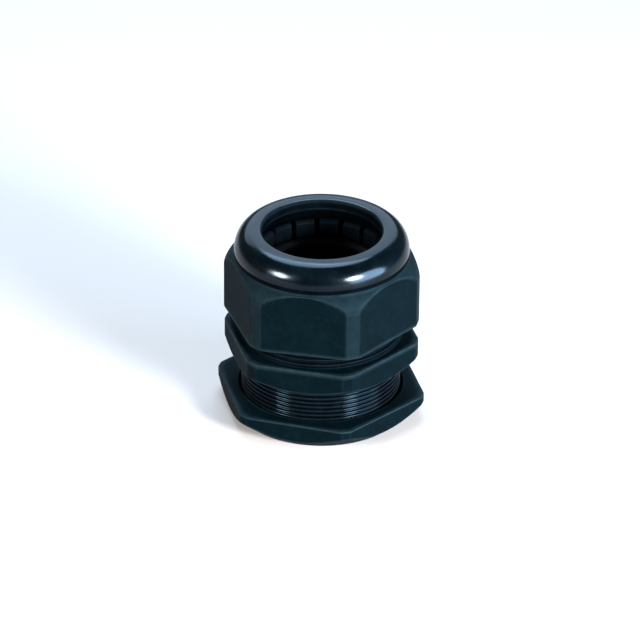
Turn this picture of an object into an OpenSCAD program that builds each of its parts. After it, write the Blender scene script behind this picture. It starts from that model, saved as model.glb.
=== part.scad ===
// Plastic cable gland of the divided type, in millimetres.
// The origin is on the gland's axis at the underside of the body's flange, which is the face that
// seats on a panel. +Z points to the dome nut, and the entry thread with its lock nut is below.

/* [Cable passage] */
// Diameter of the opening in the dome nut
opening_d = 40.2; // [39.6:0.1:41]
// Inner diameter of the relaxed seal, which is the largest cable that it takes
cable_d = 38; // [37:0.1:38.4]
// Diameter of the passage through the entry thread
entry_bore_d = 43; // [42:0.1:44]

/* [Body] */
// Width across the flats of the flange
flange_af = 59.8; // [59:0.1:61.6]
// Width across the rounded corners of the flange
flange_across = 66.8; // [65.6:0.1:67.8]
// Height of the flange
flange_h = 8.6; // [8:0.1:9.4]
// Length of the thread above the flange
neck_h = 18.4; // [18:0.1:19]
// Outer diameter of the thread above the flange
neck_d = 55; // [54.8:0.1:55.2]
// Pitch of the thread above the flange
neck_pitch = 2; // [1.8:0.1:2.2]
// Bore of the neck that the clamping insert drops into
socket_d = 48.2; // [48.1:0.1:48.3]
// Height of the seat of the clamping insert
socket_z = 10; // [9.6:0.1:10.2]

/* [Entry thread] */
// Outer diameter of the entry thread
entry_d = 54; // [53.6:0.1:54.4]
// Pitch of the entry thread, sixteen turns to the inch
entry_pitch = 1.5875; // [1.5:0.0125:1.6]

/* [Lock nut] */
// Width across the flats of the lock nut
lock_af = 64; // [63.2:0.1:65.2]
// Width across the rounded corners of the lock nut
lock_across = 72.1; // [71:0.1:73.2]
// Thickness of the lock nut
lock_h = 8.8; // [7.8:0.1:9.6]
// Space between the flange and the lock nut at rest
panel_gap = 11.5; // [10:0.1:13]
// Angle of the lock nut on its thread at rest
lock_turn = -2; // [-30:0.1:30]

/* [Dome nut] */
// Width across the flats of the dome nut
dome_af = 60; // [59.6:0.1:62]
// Width across the rounded corners of the dome nut
dome_across = 66.5; // [65.2:0.1:67]
// Height of the corners of the dome nut's hexagon
dome_corner_h = 17.4; // [16:0.1:18]
// Height at which the chamfer runs out on the flats
dome_flat_h = 22.5; // [22:0.1:23]
// Overall height of the dome nut
dome_h = 32.3; // [32:0.1:33]
// Diameter of the dome
dome_d = 59; // [58.6:0.1:59.4]
// Radial reach of the dome's rounded shoulder
shoulder_w = 6.2; // [5.4:0.1:7]
// Height of the dome's rounded shoulder
shoulder_h = 7.5; // [7:0.1:8]
// Space between the dome nut and the flange at rest
dome_gap = 6; // [5.8:0.1:6.2]
// Angle of the dome nut on its thread at rest
dome_turn = 2.7; // [-30:0.1:30]

/* [Clamping insert] */
// Number of fingers
finger_count = 16; // [14:1:16]
// Width of the slot between two fingers
slot_w = 1.9; // [1.7:0.1:2.1]
// Outer diameter of the insert
insert_d = 48; // [47.9:0.1:48]
// Wall of the insert
insert_wall = 1.8; // [1.6:0.1:1.9]
// Height of the insert's ring
insert_ring_h = 8; // [7.6:0.1:8.2]
// Height of a finger
finger_h = 20.2; // [19.8:0.1:20.2]
// Diameter inside the hooks at the fingers' tips
hook_d = 41.2; // [40.8:0.1:42]

/* [Hidden] */
$fn = 96;
ARC_STEPS = 10;
OVERSHOOT = 1;

// Clearance around the plain bores that stand for the nuts' threads, around the insert, around the
// seal and under each finger
FIT = 0.08;
PLAY = 0.1;
SEAL_PLAY = 0.2;
HINGE_GAP = 0.3;

// Chamfers at the ends of the threads and at the mouths of the bores
entry_lead_w = 0.8;
entry_lead_h = 0.6;
neck_lead = 0.8;
socket_mouth = 0.6;
dome_mouth = 1;
lock_mouth = 0.8;
seal_mouth = 1.2;

// Plain lengths that the grooves leave at the ends of the threads
entry_plain = 1.2;
neck_plain = 1.6;
neck_start = 0.3;

// Depth and mouth width of the two thread forms, of 80 and 60 degrees
entry_depth = 0.477 * entry_pitch;
entry_groove = 2 * entry_depth * tan(40);
neck_depth = 0.5 * neck_pitch;
neck_groove = 2 * neck_depth * tan(30);

// Heights of the pieces
entry_h = panel_gap + lock_h;
neck_top = flange_h + neck_h;
dome_z = flange_h + dome_gap;
lock_z = -entry_h;
insert_z = socket_z + PLAY;
ring_top = insert_z + insert_ring_h;
finger_z = ring_top + HINGE_GAP;

// Chamfers under the corners of the flange and of the lock nut
flange_chamfer_w = 3.4;
flange_chamfer_h = 2.3;
lock_chamfer_w = 6.8;
lock_chamfer_h = 5.6;

// Dome nut, measured up from its lower face: lower edge, how far the chamfer over the corners
// swells past a straight cone, its end, the lip of the opening, and the bore and cone inside
dome_edge = 0.5;
corner_bulge = 0.5;
dome_waist_h = dome_flat_h + 0.4;
shoulder_end = 80;
lip_r = 1.1;
dome_bore_d = neck_d + 2 * FIT;
dome_bore_h = 19;
cone_d = 52.8;
cone_top_h = 29;

// Clamping insert: its floor, the lip that holds the seal up, and the chamfered tips of its fingers
insert_floor = 2;
floor_lip = 1;
insert_bore_d = insert_d - 2 * insert_wall;
tip_w = 1.13;
tip_h = 1.8;
tip_edge = 0.7;
hook_low = 0.4;
hook_high = 1.2;
finger_step = 360 / finger_count;

// Seal
seal_z = insert_z + insert_floor;
seal_d = insert_bore_d - 2 * SEAL_PLAY;
seal_top = finger_z + 13.4;

finger_names = [
    for (i = [1 : finger_count]) str("claw_finger_", i < 10 ? "0" : "", i)
];

// Points of an arc with separate radii along X and Y, from angle a to angle b
function arc(cx, cy, rx, ry, a, b) = [
    for (i = [0 : ARC_STEPS])
        let (t = a + (b - a) * i / ARC_STEPS) [cx + rx * cos(t), cy + ry * sin(t)]
];

// Outline of a thread's grooves, from the lowest to the highest, on the crest radius r
function grooves(r, depth, mouth, pitch, first_z, count) = [
    for (i = [0 : count - 1])
        for (p = [[r, -mouth / 2], [r - depth, 0], [r, mouth / 2]])
            [p[0], first_z + i * pitch + p[1]]
];

// Hexagonal prism
module hexagon(af, h) {
    rotate(30) cylinder(d = af / cos(30), h = h, $fn = 6);
}

// Disc of diameter d with its lower edge cut back by w at its foot, up to height chamfer_h
module chamfered_disc(d, h, w, chamfer_h) {
    cylinder(d1 = d - 2 * w, d2 = d, h = chamfer_h);
    translate([0, 0, chamfer_h])
        cylinder(d = d, h = h - chamfer_h);
}

// Cutter for a 45 degree chamfer at the mouth of a bore that opens upwards at z = 0
module mouth_cutter(d, depth) {
    translate([0, 0, -depth])
        cylinder(d1 = d, d2 = d + 2 * (depth + OVERSHOOT), h = depth + OVERSHOOT);
}

// Solid of revolution of the thread below the flange, with a lead chamfer at its end
module entry_thread() {
    r = entry_d / 2;
    count = floor((entry_h - entry_plain) / entry_pitch);
    first_z = -(count - 0.5) * entry_pitch;
    rotate_extrude()
        polygon(concat(
            [[0, -entry_h], [r - entry_lead_w, -entry_h], [r, -entry_h + entry_lead_h]],
            grooves(r, entry_depth, entry_groove, entry_pitch, first_z, count),
            [[r, 0], [r, flange_h / 2], [0, flange_h / 2]]
        ));
}

// Solid of revolution of the thread above the flange, with a lead chamfer at its end
module neck_thread() {
    r = neck_d / 2;
    count = floor((neck_h - neck_plain) / neck_pitch);
    first_z = flange_h + neck_pitch / 2 + neck_start;
    rotate_extrude()
        polygon(concat(
            [[0, flange_h / 2], [r, flange_h / 2], [r, flange_h]],
            grooves(r, neck_depth, neck_groove, neck_pitch, first_z, count),
            [[r, neck_top - neck_lead], [r - neck_lead, neck_top], [0, neck_top]]
        ));
}

module gland_body() {
    color([0.09, 0.12, 0.14])
        difference() {
            union() {
                intersection() {
                    hexagon(flange_af, flange_h);
                    chamfered_disc(flange_across, flange_h, flange_chamfer_w, flange_chamfer_h);
                }
                entry_thread();
                neck_thread();
            }
            translate([0, 0, -entry_h - OVERSHOOT])
                cylinder(d = entry_bore_d, h = entry_h + neck_top + 2 * OVERSHOOT);
            translate([0, 0, socket_z])
                cylinder(d = socket_d, h = neck_h + OVERSHOOT);
            translate([0, 0, neck_top])
                mouth_cutter(socket_d, socket_mouth);
        }
}

// The dome nut's outside: turned corners, the chamfer over them, and the dome with its rounded lip
module dome_outside() {
    r = dome_across / 2;
    mid_r = (r + dome_af / 2) / 2 + corner_bulge;
    mid_h = (dome_corner_h + dome_flat_h) / 2;
    lip_x = opening_d / 2 + lip_r;
    rotate_extrude()
        polygon(concat(
            [[0, 0], [r - dome_edge, 0], [r, dome_edge], [r, dome_corner_h]],
            [[mid_r, mid_h], [dome_af / 2, dome_flat_h], [dome_d / 2, dome_waist_h]],
            arc(
                dome_d / 2 - shoulder_w, dome_h - shoulder_h, shoulder_w, shoulder_h,
                0, shoulder_end
            ),
            arc(lip_x, dome_h - lip_r, lip_r, lip_r, 90, 180),
            [[0, dome_h - lip_r]]
        ));
}

// The dome nut's inside: lead chamfer, thread bore, and the cone that closes the fingers
module dome_inside() {
    r = dome_bore_d / 2;
    rotate_extrude()
        polygon([
            [0, -OVERSHOOT],
            [r + dome_mouth, -OVERSHOOT],
            [r + dome_mouth, 0],
            [r, dome_mouth],
            [r, dome_bore_h],
            [cone_d / 2, dome_bore_h],
            [opening_d / 2, cone_top_h],
            [opening_d / 2, dome_h + OVERSHOOT],
            [0, dome_h + OVERSHOOT]
        ]);
}

module dome_nut() {
    color([0.10, 0.13, 0.16])
        translate([0, 0, dome_z])
            rotate(dome_turn)
                difference() {
                    intersection() {
                        hexagon(dome_af, dome_h);
                        dome_outside();
                    }
                    dome_inside();
                }
}

module lock_nut() {
    bore_d = entry_d + 2 * FIT;
    color([0.11, 0.14, 0.16])
        translate([0, 0, lock_z])
            rotate(lock_turn)
                difference() {
                    intersection() {
                        hexagon(lock_af, lock_h);
                        chamfered_disc(lock_across, lock_h, lock_chamfer_w, lock_chamfer_h);
                    }
                    translate([0, 0, -OVERSHOOT])
                        cylinder(d = bore_d, h = lock_h + 2 * OVERSHOOT);
                    mirror([0, 0, 1])
                        mouth_cutter(bore_d, lock_mouth);
                    translate([0, 0, lock_h])
                        mouth_cutter(bore_d, lock_mouth);
                }
}

module seal() {
    inner = cable_d / 2;
    color([0.07, 0.07, 0.08])
        rotate_extrude()
            polygon([
                [inner + seal_mouth, seal_z],
                [seal_d / 2, seal_z],
                [seal_d / 2, seal_top],
                [inner + seal_mouth, seal_top],
                [inner, seal_top - seal_mouth],
                [inner, seal_z + seal_mouth]
            ]);
}

module claw_ring() {
    color([0.13, 0.15, 0.17])
        difference() {
            translate([0, 0, insert_z])
                cylinder(d = insert_d, h = insert_ring_h);
            translate([0, 0, seal_z])
                cylinder(d = insert_bore_d, h = insert_ring_h);
            translate([0, 0, insert_z - OVERSHOOT])
                cylinder(d = cable_d + 2 * floor_lip, h = insert_ring_h);
        }
}

// Cross-section of a finger: a straight back, a chamfered tip and a hook over the seal's end
function finger_section() =
    let (
        outer = insert_d / 2,
        inner = insert_bore_d / 2,
        hook = hook_d / 2,
        tip = finger_z + finger_h
    ) [
        [inner, finger_z],
        [outer, finger_z],
        [outer, tip - tip_h],
        [outer - tip_w, tip],
        [hook + tip_edge, tip],
        [hook, tip - tip_edge],
        [hook, seal_top + hook_high],
        [inner, seal_top + hook_low]
    ];

// One finger of the sleeve, between two slots with parallel sides
module claw_finger(index) {
    color([0.13, 0.15, 0.17])
        rotate(index * finger_step)
            difference() {
                rotate(-finger_step / 2)
                    rotate_extrude(angle = finger_step)
                        polygon(finger_section());
                for (side = [-1, 1])
                    rotate(side * finger_step / 2)
                        translate([0, -slot_w / 2, finger_z - OVERSHOOT])
                            cube([insert_d, slot_w, finger_h + 2 * OVERSHOOT]);
            }
}

gland_body();
dome_nut();
lock_nut();
seal();
claw_ring();
for (i = [0 : finger_count - 1])
    claw_finger(i);
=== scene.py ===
"""Black plastic cable gland standing on its lock nut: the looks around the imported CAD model.

Every length is in metres, in the frame of the CAD model. Round pieces are closed rings of quads: rows run
along the piece's outline and columns run around its axis, so a hexagon or a helical thread is a radius that
changes from column to column.
"""
import math

import bpy
import numpy as np
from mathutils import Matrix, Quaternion, Vector


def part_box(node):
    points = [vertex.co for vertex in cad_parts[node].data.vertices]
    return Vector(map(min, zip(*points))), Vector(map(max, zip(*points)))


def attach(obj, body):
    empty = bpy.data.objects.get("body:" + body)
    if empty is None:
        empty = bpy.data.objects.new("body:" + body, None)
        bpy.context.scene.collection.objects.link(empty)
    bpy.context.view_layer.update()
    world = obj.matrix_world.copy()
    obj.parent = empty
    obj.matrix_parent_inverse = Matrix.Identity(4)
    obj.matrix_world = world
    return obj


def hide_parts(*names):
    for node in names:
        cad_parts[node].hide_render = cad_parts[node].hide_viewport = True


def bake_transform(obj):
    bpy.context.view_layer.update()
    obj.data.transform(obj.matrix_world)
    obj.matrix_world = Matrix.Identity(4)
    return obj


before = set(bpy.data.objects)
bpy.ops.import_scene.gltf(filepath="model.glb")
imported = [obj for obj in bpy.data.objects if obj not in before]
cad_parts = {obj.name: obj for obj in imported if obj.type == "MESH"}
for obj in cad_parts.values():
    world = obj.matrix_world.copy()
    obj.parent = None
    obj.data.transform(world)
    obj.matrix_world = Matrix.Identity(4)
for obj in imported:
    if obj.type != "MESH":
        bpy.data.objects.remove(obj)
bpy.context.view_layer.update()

MM = 0.001
TURN = 2 * math.pi

# ---------------------------------------------------------------- places, from the frame
low_body, high_body = (np.array(corner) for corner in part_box("gland_body"))
low_dome, high_dome = (np.array(corner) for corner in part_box("dome_nut"))
low_lock, high_lock = (np.array(corner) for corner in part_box("lock_nut"))
low_seal, high_seal = (np.array(corner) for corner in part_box("seal"))
low_ring, high_ring = (np.array(corner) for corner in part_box("claw_ring"))
low_finger, high_finger = (np.array(corner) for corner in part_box("claw_finger_01"))
FINGERS = sorted(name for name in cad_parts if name.startswith("claw_finger"))

# ---------------------------------------------------------------- sizes
FLANGE_FLATS, FLANGE_CORNERS, FLANGE_H = 29.9 * MM, 33.4 * MM, 8.6 * MM
FLANGE_FOOT_R, FLANGE_CHAMFER_H = 30.0 * MM, 2.3 * MM
ENTRY_R, ENTRY_PITCH, ENTRY_DEPTH = 27.0 * MM, 1.5875 * MM, 0.76 * MM
NECK_R, NECK_PITCH, NECK_DEPTH = 27.5 * MM, 2.0 * MM, 1.0 * MM
ENTRY_BORE_R, SOCKET_R, SOCKET_Z = 21.5 * MM, 24.1 * MM, 10.0 * MM

DOME_FLATS, DOME_CORNERS, DOME_R = 30.0 * MM, 33.25 * MM, 29.5 * MM
CORNER_H, CHAMFER_TOP_H, CORNER_BULGE = 17.4 * MM, 22.5 * MM, 0.5 * MM
SHOULDER_W, SHOULDER_H = 6.2 * MM, 7.5 * MM
OPENING_R, LIP_R = 20.1 * MM, 1.1 * MM
DOME_TURN = math.radians(2.7)

LOCK_FLATS, LOCK_CORNERS = 32.0 * MM, 36.04 * MM
LOCK_FOOT_R, LOCK_CHAMFER_H = 29.25 * MM, 5.6 * MM
LOCK_TURN = math.radians(-2.0)

EDGE = 0.35 * MM
BEVEL = 0.3 * MM
# height of the band under the dome's shoulder that is painted near-black, a painted shade
PAINTED_SHADE_BAND_H = 1.5 * MM

# pale edges, partly wear and partly a painted glint, start at a share of the bend (1 / radius, per metre)
# that is fully pale
FULL_MARK_BEND, UNMARKED_SHARE = 1500.0, 0.15
# corners rubbed pale: partly wear, partly a painted sheen
RUB_AND_SHEEN_DEPTH, RUB_AND_SHEEN_FROM, RUB_AND_SHEEN_TO = 0.8 * MM, 0.02 * MM, 0.3 * MM


# ---------------------------------------------------------------- mesh helpers
def soft_min(a, b, width):
    """The smaller of two lengths, rounded over where they are nearly equal"""
    share = np.clip(0.5 + 0.5 * (b - a) / width, 0, 1)
    return b + (a - b) * share - width * share * (1 - share)


def soft_step(x, low, high):
    """From 0 at low to 1 at high, with no kink at either"""
    t = np.clip((x - low) / (high - low), 0, 1)
    return t * t * (3 - 2 * t)


def hexagon(theta, flats, corners, turn, width=EDGE):
    """Radius of a hexagon whose corners are turned down to a cylinder, with softened edges"""
    local = (theta - turn + TURN / 12) % (TURN / 6) - TURN / 12
    return soft_min(flats / np.cos(local), corners, width)


def hexagon_columns(flats, corners, turn):
    """Angles around a hexagon, closer together at its twelve edges"""
    edge, near, corner = math.acos(flats / corners), math.radians(1.6), TURN / 12
    half = np.concatenate([
        np.linspace(0, edge - near, 24, endpoint=False),
        np.linspace(edge - near, edge + near, 12, endpoint=False),
        np.linspace(edge + near, corner, 4, endpoint=False),
    ])
    sector = np.concatenate([-half[:0:-1], half, [corner]])
    return np.concatenate([turn + k * TURN / 6 + sector for k in range(6)])


def helix(theta, z, pitch, crest, root):
    """Depth of a right-handed screw thread, from 0 on its crest to 1 at its root"""
    away = np.abs((z / pitch - theta / TURN) % 1 - 0.5) * 2
    t = np.clip((away - root) / (1 - crest - root), 0, 1)
    return 1 - (0.55 * t + 0.45 * t * t * (3 - 2 * t))


def arc(r, z, radius_r, radius_z, start, end, count):
    """Points of an elliptical arc in the plane of radius and height, angles in degrees"""
    angles = np.radians(np.linspace(start, end, count))
    return [(r + radius_r * math.cos(a), z + radius_z * math.sin(a)) for a in angles]


def line(start, end, count):
    """Points from start to end, without the last"""
    return [tuple(np.array(start) + (np.array(end) - np.array(start)) * i / count) for i in range(count)]


def new_object(name, vertices, faces):
    mesh = bpy.data.meshes.new(name)
    mesh.from_pydata([tuple(v) for v in vertices], [], faces)
    mesh.polygons.foreach_set("use_smooth", [True] * len(mesh.polygons))
    mesh.update()
    piece = bpy.data.objects.new(name, mesh)
    bpy.context.scene.collection.objects.link(piece)
    return piece


def mark_edges(piece):
    """Store how sharply the surface bends outwards at each vertex, for wear and a painted glint on edges
    and thread crests
    """
    mesh = piece.data
    place = np.empty(len(mesh.vertices) * 3)
    normal = np.empty(len(mesh.vertices) * 3)
    ends = np.empty(len(mesh.edges) * 2, int)
    mesh.vertices.foreach_get("co", place)
    mesh.vertex_normals.foreach_get("vector", normal)
    mesh.edges.foreach_get("vertices", ends)
    place, normal, ends = place.reshape(-1, 3), normal.reshape(-1, 3), ends.reshape(-1, 2)
    bend = np.zeros(len(place))
    for here, there in (ends.T, ends[:, ::-1].T):
        step = place[here] - place[there]
        curve = 2 * (step * normal[here]).sum(axis=1) / (step * step).sum(axis=1)
        np.maximum.at(bend, here, curve)
    wear_and_glint = mesh.attributes.new("edge_mark", "FLOAT", "POINT")
    wear_and_glint.data.foreach_set("value", np.clip(bend / FULL_MARK_BEND - UNMARKED_SHARE, 0, 1).astype(np.float32))
    return piece


def ring_piece(name, theta, rows):
    """Closed ring: each row is (radius, height), and either may be one number or one for each column"""
    columns, count = len(theta), len(rows)
    radius = np.array([np.broadcast_to(r, columns) for r, _ in rows])
    height = np.array([np.broadcast_to(z, columns) for _, z in rows])
    vertices = np.stack([radius * np.cos(theta), radius * np.sin(theta), height], axis=-1).reshape(-1, 3)
    row, column = np.meshgrid(np.arange(count), np.arange(columns), indexing="ij")
    next_row, next_column = (row + 1) % count, (column + 1) % columns
    faces = np.stack([
        row * columns + column,
        row * columns + next_column,
        next_row * columns + next_column,
        next_row * columns + column,
    ], axis=-1).reshape(-1, 4)
    return new_object(name, vertices, faces.tolist())


# ---------------------------------------------------------------- the dome nut
def dome_nut():
    base = low_dome[2]
    height = high_dome[2] - base
    theta = hexagon_columns(DOME_FLATS, DOME_CORNERS, DOME_TURN)
    flats = hexagon(theta, DOME_FLATS, DOME_CORNERS * 2, DOME_TURN)
    outer = hexagon(theta, DOME_FLATS, DOME_CORNERS, DOME_TURN)
    bore, seat_h, cone_r, cone_top = 27.64 * MM, 19.0 * MM, 26.4 * MM, 29.0 * MM
    ridge, lead_in = 0.86 * MM, 1.0 * MM

    def turned(h):
        """Radius of the turned outside below the dome"""
        share = (h - CORNER_H) / (CHAMFER_TOP_H - CORNER_H)
        cone = DOME_CORNERS - (DOME_CORNERS - DOME_FLATS) * share
        cone += CORNER_BULGE * np.clip(4 * share * (1 - share), 0, 1)
        return -soft_min(-soft_min(DOME_CORNERS, cone, 0.5 * MM), -DOME_R, 0.25 * MM)

    rows = [(bore + lead_in + (outer - EDGE - bore - lead_in) * t, base) for t in (0, 0.5)]
    rows += [(outer - EDGE + r, base + EDGE + z) for r, z in arc(0, 0, EDGE, EDGE, -90, 0, 6)]
    rows += [(outer, base + h) for h in np.linspace(1.5 * MM, 15.5 * MM, 8)]
    steps = np.arange(16.2 * MM, height - SHOULDER_H - 0.05 * MM, 0.13 * MM)
    rows += [(soft_min(turned(h), flats, EDGE), base + h) for h in steps]
    shoulder = arc(DOME_R - SHOULDER_W, height - SHOULDER_H, SHOULDER_W, SHOULDER_H, 0, 80, 34)
    lip = arc(OPENING_R + LIP_R, height - LIP_R, LIP_R, LIP_R, 90, 180, 12)
    rows += [(r, base + z) for r, z in shoulder + lip]
    inside = line((OPENING_R, height - LIP_R - 0.5 * MM), (OPENING_R, cone_top), 3)
    inside += line((OPENING_R, cone_top), (cone_r - 0.3 * MM, seat_h + 0.5 * MM), 12)
    inside += arc(cone_r + 0.2 * MM, seat_h + BEVEL, BEVEL, BEVEL, 180, 270, 4)
    inside += [(bore - 0.3 * MM, seat_h), (bore, seat_h - 0.2 * MM)]
    rows += [(r, base + z) for r, z in inside]
    for h in np.arange(seat_h - 0.4 * MM, 0.1 * MM, -NECK_PITCH / 14):
        depth = helix(theta, base + h, NECK_PITCH, 0.28, 0.3) * ridge
        fade = soft_step(h, 0.6 * MM, 2.6 * MM) * (1 - soft_step(h, seat_h - 2.4 * MM, seat_h - 0.6 * MM))
        mouth = np.maximum(0, lead_in - h)
        rows.append((bore + mouth - depth * fade, base + h))
    piece = ring_piece("dome_nut_shell", theta, rows)
    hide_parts("dome_nut")
    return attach(piece, "dome_nut")


# ---------------------------------------------------------------- the body
def gland_body():
    bottom, top = low_body[2], high_body[2]
    theta = hexagon_columns(FLANGE_FLATS, FLANGE_CORNERS, 0)
    outer = hexagon(theta, FLANGE_FLATS, FLANGE_CORNERS, 0)
    edge, fillet = BEVEL, 0.25 * MM
    entry_lead, neck_lead, bore_edge = 0.8 * MM, 0.9 * MM, 0.4 * MM

    rows = [(r, bottom) for r in np.linspace(ENTRY_BORE_R + bore_edge, ENTRY_R - 1.2 * MM, 3)]
    for z in np.arange(bottom + 0.05 * MM, -fillet, ENTRY_PITCH / 14):
        depth = helix(theta, z, ENTRY_PITCH, 0.2, 0.06) * ENTRY_DEPTH
        fade = 1 - soft_step(z, -1.3 * MM, -fillet)
        lead = ENTRY_R - np.maximum(0, entry_lead - (z - bottom))
        rows.append((soft_min(ENTRY_R - depth * fade, lead, 0.15 * MM), z))
    rows += [(ENTRY_R + fillet - r, z) for r, z in arc(0, -fillet, fillet, fillet, 0, 90, 4)]
    inner = ENTRY_R + fillet
    foot = np.minimum(outer, FLANGE_FOOT_R) - edge
    rows += [(inner + (foot - inner) * t, 0.0) for t in (0.2, 0.6, 1)]
    slope = (FLANGE_CORNERS - FLANGE_FOOT_R) / FLANGE_CHAMFER_H
    for z in np.arange(0.08 * MM, FLANGE_CHAMFER_H + 0.8 * MM, 0.13 * MM):
        rounding = edge * (1 - np.sqrt(1 - np.clip(1 - z / edge, 0, 1) ** 2))
        cone = FLANGE_FOOT_R + z * slope
        rows.append((soft_min(cone, outer, EDGE) - rounding, z))
    rows += [(outer, FLANGE_H * t) for t in (0.5, 0.65, 0.8)]
    rows += [(outer - edge + r, FLANGE_H - edge + z) for r, z in arc(0, 0, edge, edge, 0, 90, 5)]
    inner = NECK_R + fillet
    rows += [(inner + (outer - edge - inner) * t, FLANGE_H) for t in (0.6, 0.2)]
    rows += [(NECK_R + fillet - r, z) for r, z in arc(0, FLANGE_H + fillet, fillet, fillet, -90, 0, 4)]
    for z in np.arange(FLANGE_H + 2 * fillet, top - 0.1 * MM, NECK_PITCH / 14):
        depth = helix(theta, z, NECK_PITCH, 0.3, 0.12) * NECK_DEPTH
        fade = soft_step(z, FLANGE_H + fillet, FLANGE_H + 1.2 * MM)
        lead = NECK_R - np.maximum(0, neck_lead - (top - z))
        rows.append((soft_min(NECK_R - depth * fade, lead, 0.15 * MM), z))
    mouth = SOCKET_R + 0.6 * MM
    inside = line((NECK_R - 1.2 * MM, top), (mouth + 0.2 * MM, top), 2)
    inside += arc(mouth + 0.1 * MM, top - 0.1 * MM, 0.1 * MM, 0.1 * MM, 90, 180, 3)
    inside += line((mouth - 0.15 * MM, top - 0.25 * MM), (SOCKET_R, top - 1.2 * MM), 3)
    inside += line((SOCKET_R, top - 1.3 * MM), (SOCKET_R, SOCKET_Z + edge), 6)
    inside += arc(SOCKET_R - edge, SOCKET_Z + edge, edge, edge, 0, -90, 4)
    inside += line((SOCKET_R - 1.0 * MM, SOCKET_Z), (ENTRY_BORE_R + edge, SOCKET_Z), 2)
    inside += arc(ENTRY_BORE_R + edge, SOCKET_Z - edge, edge, edge, 90, 180, 4)
    inside += line((ENTRY_BORE_R, SOCKET_Z - 1 * MM), (ENTRY_BORE_R, bottom + 1 * MM), 10)
    inside += arc(ENTRY_BORE_R + bore_edge, bottom + bore_edge, bore_edge, bore_edge, 180, 265, 4)
    rows += inside
    piece = ring_piece("gland_body_shell", theta, rows)
    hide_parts("gland_body")
    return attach(piece, "gland_body")


# ---------------------------------------------------------------- the lock nut
def lock_nut():
    base = low_lock[2]
    height = high_lock[2] - base
    theta = hexagon_columns(LOCK_FLATS, LOCK_CORNERS, LOCK_TURN)
    flats = hexagon(theta, LOCK_FLATS, LOCK_CORNERS * 2, LOCK_TURN)
    outer = hexagon(theta, LOCK_FLATS, LOCK_CORNERS, LOCK_TURN)
    bore, groove, lead_in = 27.1 * MM, 0.7 * MM, 0.9 * MM
    slope = (LOCK_CORNERS - LOCK_FOOT_R) / LOCK_CHAMFER_H

    rows = [(r, base) for r in np.linspace(bore + lead_in, LOCK_FOOT_R - 0.2 * MM, 3)]
    for h in np.arange(0.06 * MM, height - 0.5 * MM, 0.12 * MM):
        cone = LOCK_FOOT_R + h * slope
        rows.append((soft_min(soft_min(cone, LOCK_CORNERS, 0.5 * MM), flats, EDGE), base + h))
    rows += [(outer - EDGE + r, base + height - EDGE + z) for r, z in arc(0, 0, EDGE, EDGE, 0, 90, 6)]
    inner = bore + lead_in
    rows += [(inner + (outer - EDGE - inner) * t, base + height) for t in (0.7, 0.4, 0.15, 0)]
    for h in np.arange(height - 0.06 * MM, 0.03 * MM, -ENTRY_PITCH / 14):
        depth = (1 - helix(theta, base + h, ENTRY_PITCH, 0.1, 0.2)) * groove
        mouth = np.maximum(0, lead_in - np.minimum(h, height - h))
        rows.append((np.maximum(bore + depth, bore + mouth), base + h))
    piece = ring_piece("lock_nut_shell", theta, rows)
    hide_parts("lock_nut")
    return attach(piece, "lock_nut")


# ---------------------------------------------------------------- the clamping insert
INSERT_R, INSERT_WALL = 24.0 * MM, 1.8 * MM
RING_BORE_R, SEAL_BORE_R = 20.0 * MM, 19.0 * MM
HOOK_R, SLOT = 20.6 * MM, 1.9 * MM
FINGER_STEP = TURN / len(FINGERS)


def rounded_outline(corners, radius, count=4):
    """Closed outline in the plane of radius and height, its corners rounded over"""
    points = []
    for before, here, after in zip(corners[-1:] + corners[:-1], corners, corners[1:] + corners[:1]):
        here, before, after = np.array(here), np.array(before), np.array(after)
        to_before, to_after = before - here, after - here
        reach = min(radius, np.linalg.norm(to_before) / 2.2, np.linalg.norm(to_after) / 2.2)
        start = here + to_before / np.linalg.norm(to_before) * reach
        end = here + to_after / np.linalg.norm(to_after) * reach
        for t in np.linspace(0, 1, count):
            points.append(tuple((1 - t) ** 2 * start + 2 * t * (1 - t) * here + t * t * end))
    return points


def claw_ring():
    bottom, top = low_ring[2], high_ring[2]
    corners = [
        (RING_BORE_R, bottom), (INSERT_R, bottom), (INSERT_R, top), (INSERT_R - INSERT_WALL, top),
        (INSERT_R - INSERT_WALL, low_seal[2]), (RING_BORE_R, low_seal[2]),
    ]
    theta = np.linspace(0, TURN, 192, endpoint=False)
    piece = ring_piece("claw_ring_band", theta, rounded_outline(corners, BEVEL))
    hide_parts("claw_ring")
    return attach(piece, "clamping_insert")


def sector_piece(name, outline, middle, half_angle, ends, columns):
    """Part of a ring between two ends: half_angle gives the half width at each radius, and ends lists
    (share of the half width, inset of the outline) from the middle to the end"""
    outline = np.array(outline)
    centre = outline.mean(axis=0)
    shares = [(-s, inset) for s, inset in reversed(ends)]
    shares += [(s, 0) for s in np.linspace(-0.9, 0.9, columns)] + list(ends)
    vertices = []
    for share, inset in shares:
        towards = centre - outline
        pulled = outline + towards / np.linalg.norm(towards, axis=1, keepdims=True) * inset
        angle = middle + share * half_angle(pulled[:, 0])
        vertices.append(np.stack([
            pulled[:, 0] * np.cos(angle), pulled[:, 0] * np.sin(angle), pulled[:, 1],
        ], axis=-1))
    count, last = len(outline), len(shares) - 1
    faces = [
        (i * count + j, (i + 1) * count + j, (i + 1) * count + (j + 1) % count, i * count + (j + 1) % count)
        for i in range(last) for j in range(count)
    ]
    faces += [tuple(range(count)), tuple(reversed(range(last * count, (last + 1) * count)))]
    return new_object(name, np.concatenate(vertices), faces)


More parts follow.
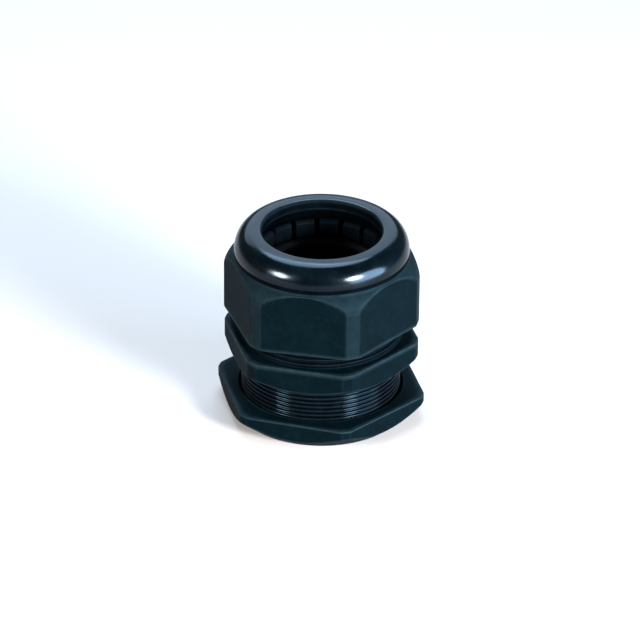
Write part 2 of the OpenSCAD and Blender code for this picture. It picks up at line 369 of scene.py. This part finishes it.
def claw_finger(index, name):
    """One finger, with the thin web at its foot where it joins the ring"""
    foot, tip = low_finger[2], high_finger[2]
    ring_top, seal_top = high_ring[2], high_seal[2]
    inner = INSERT_R - INSERT_WALL
    corners = [
        (inner + 0.3 * MM, ring_top - 0.5 * MM), (INSERT_R - 0.6 * MM, ring_top - 0.5 * MM),
        (INSERT_R - 0.6 * MM, foot + 0.2 * MM), (INSERT_R, foot + 0.9 * MM),
        (INSERT_R, tip - 1.8 * MM), (INSERT_R - 1.13 * MM, tip), (HOOK_R + 0.7 * MM, tip),
        (HOOK_R, tip - 0.7 * MM), (HOOK_R, seal_top + 1.2 * MM), (inner, seal_top + 0.4 * MM),
        (inner, foot + 0.6 * MM), (inner + 0.3 * MM, foot + 0.1 * MM),
    ]

    def half_angle(radius):
        return FINGER_STEP / 2 - np.arcsin(SLOT / 2 / radius)

    ends = [(0.97, 0.0), (0.992, 0.06 * MM), (1.0, 0.2 * MM)]
    piece = sector_piece(
        f"{name}_blade", rounded_outline(corners, 0.25 * MM, 3), index * FINGER_STEP, half_angle, ends, 9)
    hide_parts(name)
    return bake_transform(piece)


def seal_strip(index, name):
    """The stretch of the seal behind one finger"""
    bottom, top = low_seal[2], high_seal[2]
    inner, outer, slant = SEAL_BORE_R, high_seal[0], 1.2 * MM
    corners = [
        (inner + slant, bottom), (outer, bottom), (outer, top), (inner + slant, top),
        (inner, top - slant), (inner, bottom + slant),
    ]
    ends = [(1.0, 0.0)]
    piece = sector_piece(
        f"seal_strip_{name[-2:]}", rounded_outline(corners, 0.5 * MM, 5), index * FINGER_STEP,
        lambda radius: FINGER_STEP / 2 + 0 * radius, ends, 7)
    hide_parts("seal")
    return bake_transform(piece)


# ---------------------------------------------------------------- materials
BLUE_TINT = (0.4, 0.74, 1.0, 1.0)
PALE_TINT = (0.68, 0.83, 1.0, 1.0)
BLUE_BLACK = (0.0002, 0.0013, 0.0018, 1)
BLUE_GREY = (0.0003, 0.0018, 0.0025, 1)
DEEP_BLACK = (0.0002, 0.0007, 0.0011, 1)
DEEP_GREY = (0.0003, 0.0012, 0.0018, 1)
# near-black, used as painted shade in the insides, in the gaps and under the dome's shoulder, and as the
# dark tone of the entry thread
SHADE_AND_THREAD_BLACK = (0.0001, 0.0003, 0.0005, 1)
RUBBER_BLACK, RUBBER_GREY = (0.0015, 0.0018, 0.002, 1), (0.004, 0.0044, 0.005, 1)
RUBBER_BLOOM = (0.012, 0.012, 0.012, 1)
FLOOR_DARK, FLOOR_PALE = (0.265, 0.247, 0.232, 1), (0.275, 0.257, 0.242, 1)


class Nodes:
    """Short way to add shader nodes and join them"""

    def __init__(self, name):
        self.material = bpy.data.materials.new(name)
        self.material.use_nodes = True
        self.tree = self.material.node_tree
        self.shader = self.tree.nodes["Principled BSDF"]

    def add(self, kind, inputs=None, **settings):
        node = self.tree.nodes.new(kind)
        for key, value in settings.items():
            setattr(node, key, value)
        for key, value in (inputs or {}).items():
            if isinstance(value, bpy.types.NodeSocket):
                self.tree.links.new(value, node.inputs[key])
            else:
                node.inputs[key].default_value = value
        return node

    def place(self):
        return self.add("ShaderNodeTexCoord").outputs["Object"]

    def noise(self, scale, detail=3.0, roughness=0.55):
        node = self.add("ShaderNodeTexNoise", {
            "Vector": self.place(), "Scale": scale, "Detail": detail, "Roughness": roughness})
        return node.outputs["Fac"]

    def remap(self, value, low, high, to_low, to_high):
        node = self.add("ShaderNodeMapRange", {
            "Value": value, "From Min": low, "From Max": high, "To Min": to_low, "To Max": to_high})
        node.interpolation_type = "SMOOTHSTEP"
        return node.outputs["Result"]

    def maths(self, operation, a, b):
        return self.add("ShaderNodeMath", {0: a, 1: b}, operation=operation).outputs[0]

    def mix(self, share, a, b):
        node = self.add("ShaderNodeMix", data_type="RGBA")
        for socket, value in ((0, share), (6, a), (7, b)):
            if isinstance(value, bpy.types.NodeSocket):
                self.tree.links.new(value, node.inputs[socket])
            else:
                node.inputs[socket].default_value = value
        return node.outputs[2]

    def bump(self, height, strength, distance, normal=None):
        inputs = {"Height": height, "Strength": strength, "Distance": distance}
        if normal is not None:
            inputs["Normal"] = normal
        return self.add("ShaderNodeBump", inputs).outputs["Normal"]

    def join(self, **sockets):
        for key, value in sockets.items():
            name = key.replace("_", " ")
            if isinstance(value, bpy.types.NodeSocket):
                self.tree.links.new(value, self.shader.inputs[name])
            else:
                self.shader.inputs[name].default_value = value
        return self.material


def moulded_nylon(name, dark, light, rough, specular, grain=0.35, tint=BLUE_TINT):
    """Black moulded nylon: fine grain, cloudy gloss, rubbed patches and paler, smoother edges, which are
    partly wear and partly a painted glint
    """
    n = Nodes(name)
    cloud = n.noise(160, 4)
    rub = n.remap(n.noise(420, 5, 0.65), 0.52, 0.7, 0, 1)
    edge = n.add("ShaderNodeAttribute", attribute_name="edge_mark").outputs["Fac"]
    edge = n.maths("MULTIPLY", edge, n.remap(n.noise(300, 4, 0.6), 0.3, 0.7, 0.6, 1))
    base = n.mix(n.remap(cloud, 0.3, 0.7, 0, 1), dark, light)
    pale = [c * 4 + light[2] * 2.2 for c in light[:3]] + [1]
    base = n.mix(n.maths("MULTIPLY", rub, 0.06), base, pale)
    # edges and thread crests turn pale: partly wear, partly a painted glint
    base = n.mix(n.maths("MULTIPLY", edge, 0.8), base, pale)
    roughness = n.remap(cloud, 0.25, 0.75, rough - 0.03, rough + 0.04)
    roughness = n.maths("ADD", roughness, n.maths("MULTIPLY", rub, 0.04))
    roughness = n.maths("SUBTRACT", roughness, n.maths("MULTIPLY", edge, rough * 0.25))
    normal = n.bump(n.noise(900, 3), 0.12, 0.02 * MM)
    normal = n.bump(n.noise(5200, 2), grain, 0.008 * MM, normal)
    return n.join(
        Base_Color=base, Roughness=roughness, Normal=normal, IOR=1.5, Specular_IOR_Level=specular,
        Specular_Tint=tint)


def seal_rubber():
    n = Nodes("seal_rubber")
    cloud = n.noise(300, 4)
    base = n.mix(cloud, RUBBER_BLACK, RUBBER_GREY)
    edge = n.add("ShaderNodeAttribute", attribute_name="edge_mark").outputs["Fac"]
    patches = n.remap(n.noise(1500, 5, 0.7), 0.5, 0.75, 0, 0.3)
    bloom = n.maths("MULTIPLY", patches, n.maths("ADD", edge, 0.4))
    base = n.mix(bloom, base, RUBBER_BLOOM)
    normal = n.bump(n.noise(6000, 2), 0.4, 0.01 * MM)
    return n.join(
        Base_Color=base, Roughness=n.remap(cloud, 0.2, 0.8, 0.6, 0.8), Normal=normal,
        Specular_IOR_Level=0.15)


def pale_floor():
    n = Nodes("pale_floor")
    cloud = n.noise(6, 3)
    base = n.mix(cloud, FLOOR_DARK, FLOOR_PALE)
    return n.join(Base_Color=base, Roughness=n.remap(cloud, 0.3, 0.7, 0.75, 0.85), Specular_IOR_Level=0.2)


def finish_with(piece, material):
    piece.data.materials.append(material)
    return mark_edges(piece)


def rub_and_sheen_corners(piece, flats, turn, lowest, highest, amount):
    """Add wear and a painted sheen where the outside lies within the flats: on the corners and the chamfer
    over them
    """
    wear_and_glint = piece.data.attributes["edge_mark"].data
    for index, vertex in enumerate(piece.data.vertices):
        radius, height = vertex.co.xy.length, vertex.co.z
        angle = (math.atan2(vertex.co.y, vertex.co.x) - turn + TURN / 12) % (TURN / 6) - TURN / 12
        inset = flats - radius * math.cos(angle)
        if lowest < height < highest and radius > flats - RUB_AND_SHEEN_DEPTH:
            wear_and_glint[index].value += amount * soft_step(inset, RUB_AND_SHEEN_FROM, RUB_AND_SHEEN_TO)


def refinish(piece, material, chosen):
    """Give a second material to the faces whose radius and height, in that order, pass a test"""
    piece.data.materials.append(material)
    index = len(piece.data.materials) - 1
    for face in piece.data.polygons:
        if chosen(face.center.xy.length, face.center.z):
            face.material_index = index


# ---------------------------------------------------------------- camera, light and floor
VIEW_AZIMUTH, VIEW_ELEVATION, VIEW_ROLL = math.radians(-15.95), math.radians(29.85), math.radians(0.5)
VIEW_WIDTH, LENS, SENSOR = 216.2 * MM, 300.0, 36.0
AIM_HEIGHT, AIM_LEFT, AIM_UP = 11.3 * MM, 0.41 * MM, 0.33 * MM
LIT_HEIGHT = 20 * MM
FLOOR_REACH, FLOOR_GAP = 6.0, 0.02 * MM
DAYLIGHT, NEUTRAL = (0.58, 0.78, 1.0), (1.0, 0.98, 1.0)


def direction(azimuth, elevation):
    """From the object towards a place: azimuth 0 is -Y and grows towards +X"""
    flat = math.cos(elevation)
    return Vector((math.sin(azimuth) * flat, -math.cos(azimuth) * flat, math.sin(elevation)))


def add_camera():
    data = bpy.data.cameras.new("camera")
    data.lens, data.sensor_width = LENS, SENSOR
    data.clip_start, data.clip_end = 0.05, 20
    data.dof.use_dof = False
    camera = bpy.data.objects.new("camera", data)
    bpy.context.scene.collection.objects.link(camera)
    right = direction(VIEW_AZIMUTH + math.pi / 2, 0)
    back = direction(VIEW_AZIMUTH, VIEW_ELEVATION)
    target = Vector((0, 0, AIM_HEIGHT)) - right * AIM_LEFT + back.cross(right) * AIM_UP
    camera.location = target + back * (VIEW_WIDTH * LENS / SENSOR)
    camera.rotation_euler = (back.to_track_quat("Z", "Y") @ Quaternion((0, 0, 1), VIEW_ROLL)).to_euler()
    bpy.context.scene.camera = camera


def add_softbox(name, azimuth, elevation, width, height, radiance, colour, distance=0.8):
    """Oval light that faces the object. Its azimuth is counted from the camera's, and the azimuth, the
    elevation, the width and the height are all in degrees as the object sees them"""
    data = bpy.data.lights.new(name, "AREA")
    data.shape = "ELLIPSE"
    data.size = 2 * distance * math.tan(math.radians(width / 2))
    data.size_y = 2 * distance * math.tan(math.radians(height / 2))
    data.energy, data.color = radiance * math.pi * (math.pi / 4) * data.size * data.size_y, colour
    light = bpy.data.objects.new(name, data)
    bpy.context.scene.collection.objects.link(light)
    away = direction(VIEW_AZIMUTH + math.radians(azimuth), math.radians(elevation))
    light.location = Vector((0, 0, LIT_HEIGHT)) + away * distance
    light.rotation_euler = away.to_track_quat("Z", "Y").to_euler()


def add_world():
    world = bpy.data.worlds.new("studio")
    world.use_nodes = True
    background = world.node_tree.nodes["Background"]
    background.inputs["Color"].default_value = (0.86, 0.94, 1.0, 1)
    background.inputs["Strength"].default_value = 0.12
    bpy.context.scene.world = world


def add_floor():
    reach, height = FLOOR_REACH, low_lock[2] - FLOOR_GAP
    corners = [(-reach, -reach), (reach, -reach), (reach, reach), (-reach, reach)]
    floor = new_object("floor", [(x, y, height) for x, y in corners], [(0, 1, 2, 3)])
    floor.data.materials.append(pale_floor())


# ---------------------------------------------------------------- the scene
add_camera()
add_world()
add_floor()
add_softbox("softbox_right", 60, 6, 50, 44, 40, DAYLIGHT)
add_softbox("softbox_right_upper", 42, 17, 19, 14, 270, NEUTRAL)
add_softbox("softbox_left", -54, 17, 20, 17, 130, NEUTRAL)
add_softbox("softbox_top", -170, 64, 44, 40, 18, DAYLIGHT)
add_softbox("softbox_back", -172, 33, 64, 30, 3.2, DAYLIGHT)
bpy.context.scene.view_settings.view_transform = "Standard"

nylon_satin = moulded_nylon("nylon_satin", BLUE_BLACK, BLUE_GREY, 0.58, 0.022)
nylon_polished = moulded_nylon("nylon_polished", DEEP_BLACK, DEEP_GREY, 0.18, 0.15, 0.05, PALE_TINT)
nylon_thread = moulded_nylon("nylon_thread", SHADE_AND_THREAD_BLACK, DEEP_BLACK, 0.15, 0.07, 0.1)
# a near-black copy of the nylon: painted shade for the insides, the gaps between parts and the band under
# the dome's shoulder
nylon_painted_shade = moulded_nylon("nylon_painted_shade", SHADE_AND_THREAD_BLACK, DEEP_BLACK, 0.6, 0.012)
rubber = seal_rubber()

nut = finish_with(dome_nut(), nylon_satin)
skin = 0.2 * MM
base, top = low_dome[2], high_dome[2]
shoulder = top - SHOULDER_H
painted_shade_foot = shoulder - PAINTED_SHADE_BAND_H
thread_r, lip_foot = DOME_FLATS - 1.8 * MM, top - 4 * MM
# corners and chamfers made paler: partly wear, partly a painted sheen
rub_and_sheen_corners(nut, DOME_FLATS, DOME_TURN, base + 0.5 * MM, painted_shade_foot, 0.4)
# painted shade: the band between the shoulder and the line below it is painted near-black
refinish(nut, nylon_painted_shade, lambda radius, height: height > painted_shade_foot)
refinish(nut, nylon_polished, lambda radius, height: height > shoulder and radius > OPENING_R + skin)
# painted shade: the opening and the inside of the dome nut are painted near-black
refinish(nut, nylon_painted_shade, lambda radius, height: radius < OPENING_R + skin or (
    radius < thread_r and base + skin < height < lip_foot))
body = finish_with(gland_body(), nylon_satin)
thread_root, thread_crest = ENTRY_BORE_R + 2 * MM, NECK_R + 0.1 * MM
refinish(body, nylon_thread, lambda radius, height: thread_root < radius < thread_crest and height < -skin)
# painted shade: the neck above the flange and the bore are painted near-black
refinish(body, nylon_painted_shade, lambda radius, height: radius < thread_crest and height > FLANGE_H + skin)
refinish(body, nylon_painted_shade, lambda radius, height: radius < SOCKET_R + 0.1 * MM)
finish_with(lock_nut(), nylon_satin)
# painted shade: the clamping insert inside the gland is painted near-black
finish_with(claw_ring(), nylon_painted_shade)
for place, finger in enumerate(FINGERS):
    finish_with(claw_finger(place, finger), nylon_painted_shade)
    finish_with(seal_strip(place, finger), rubber)
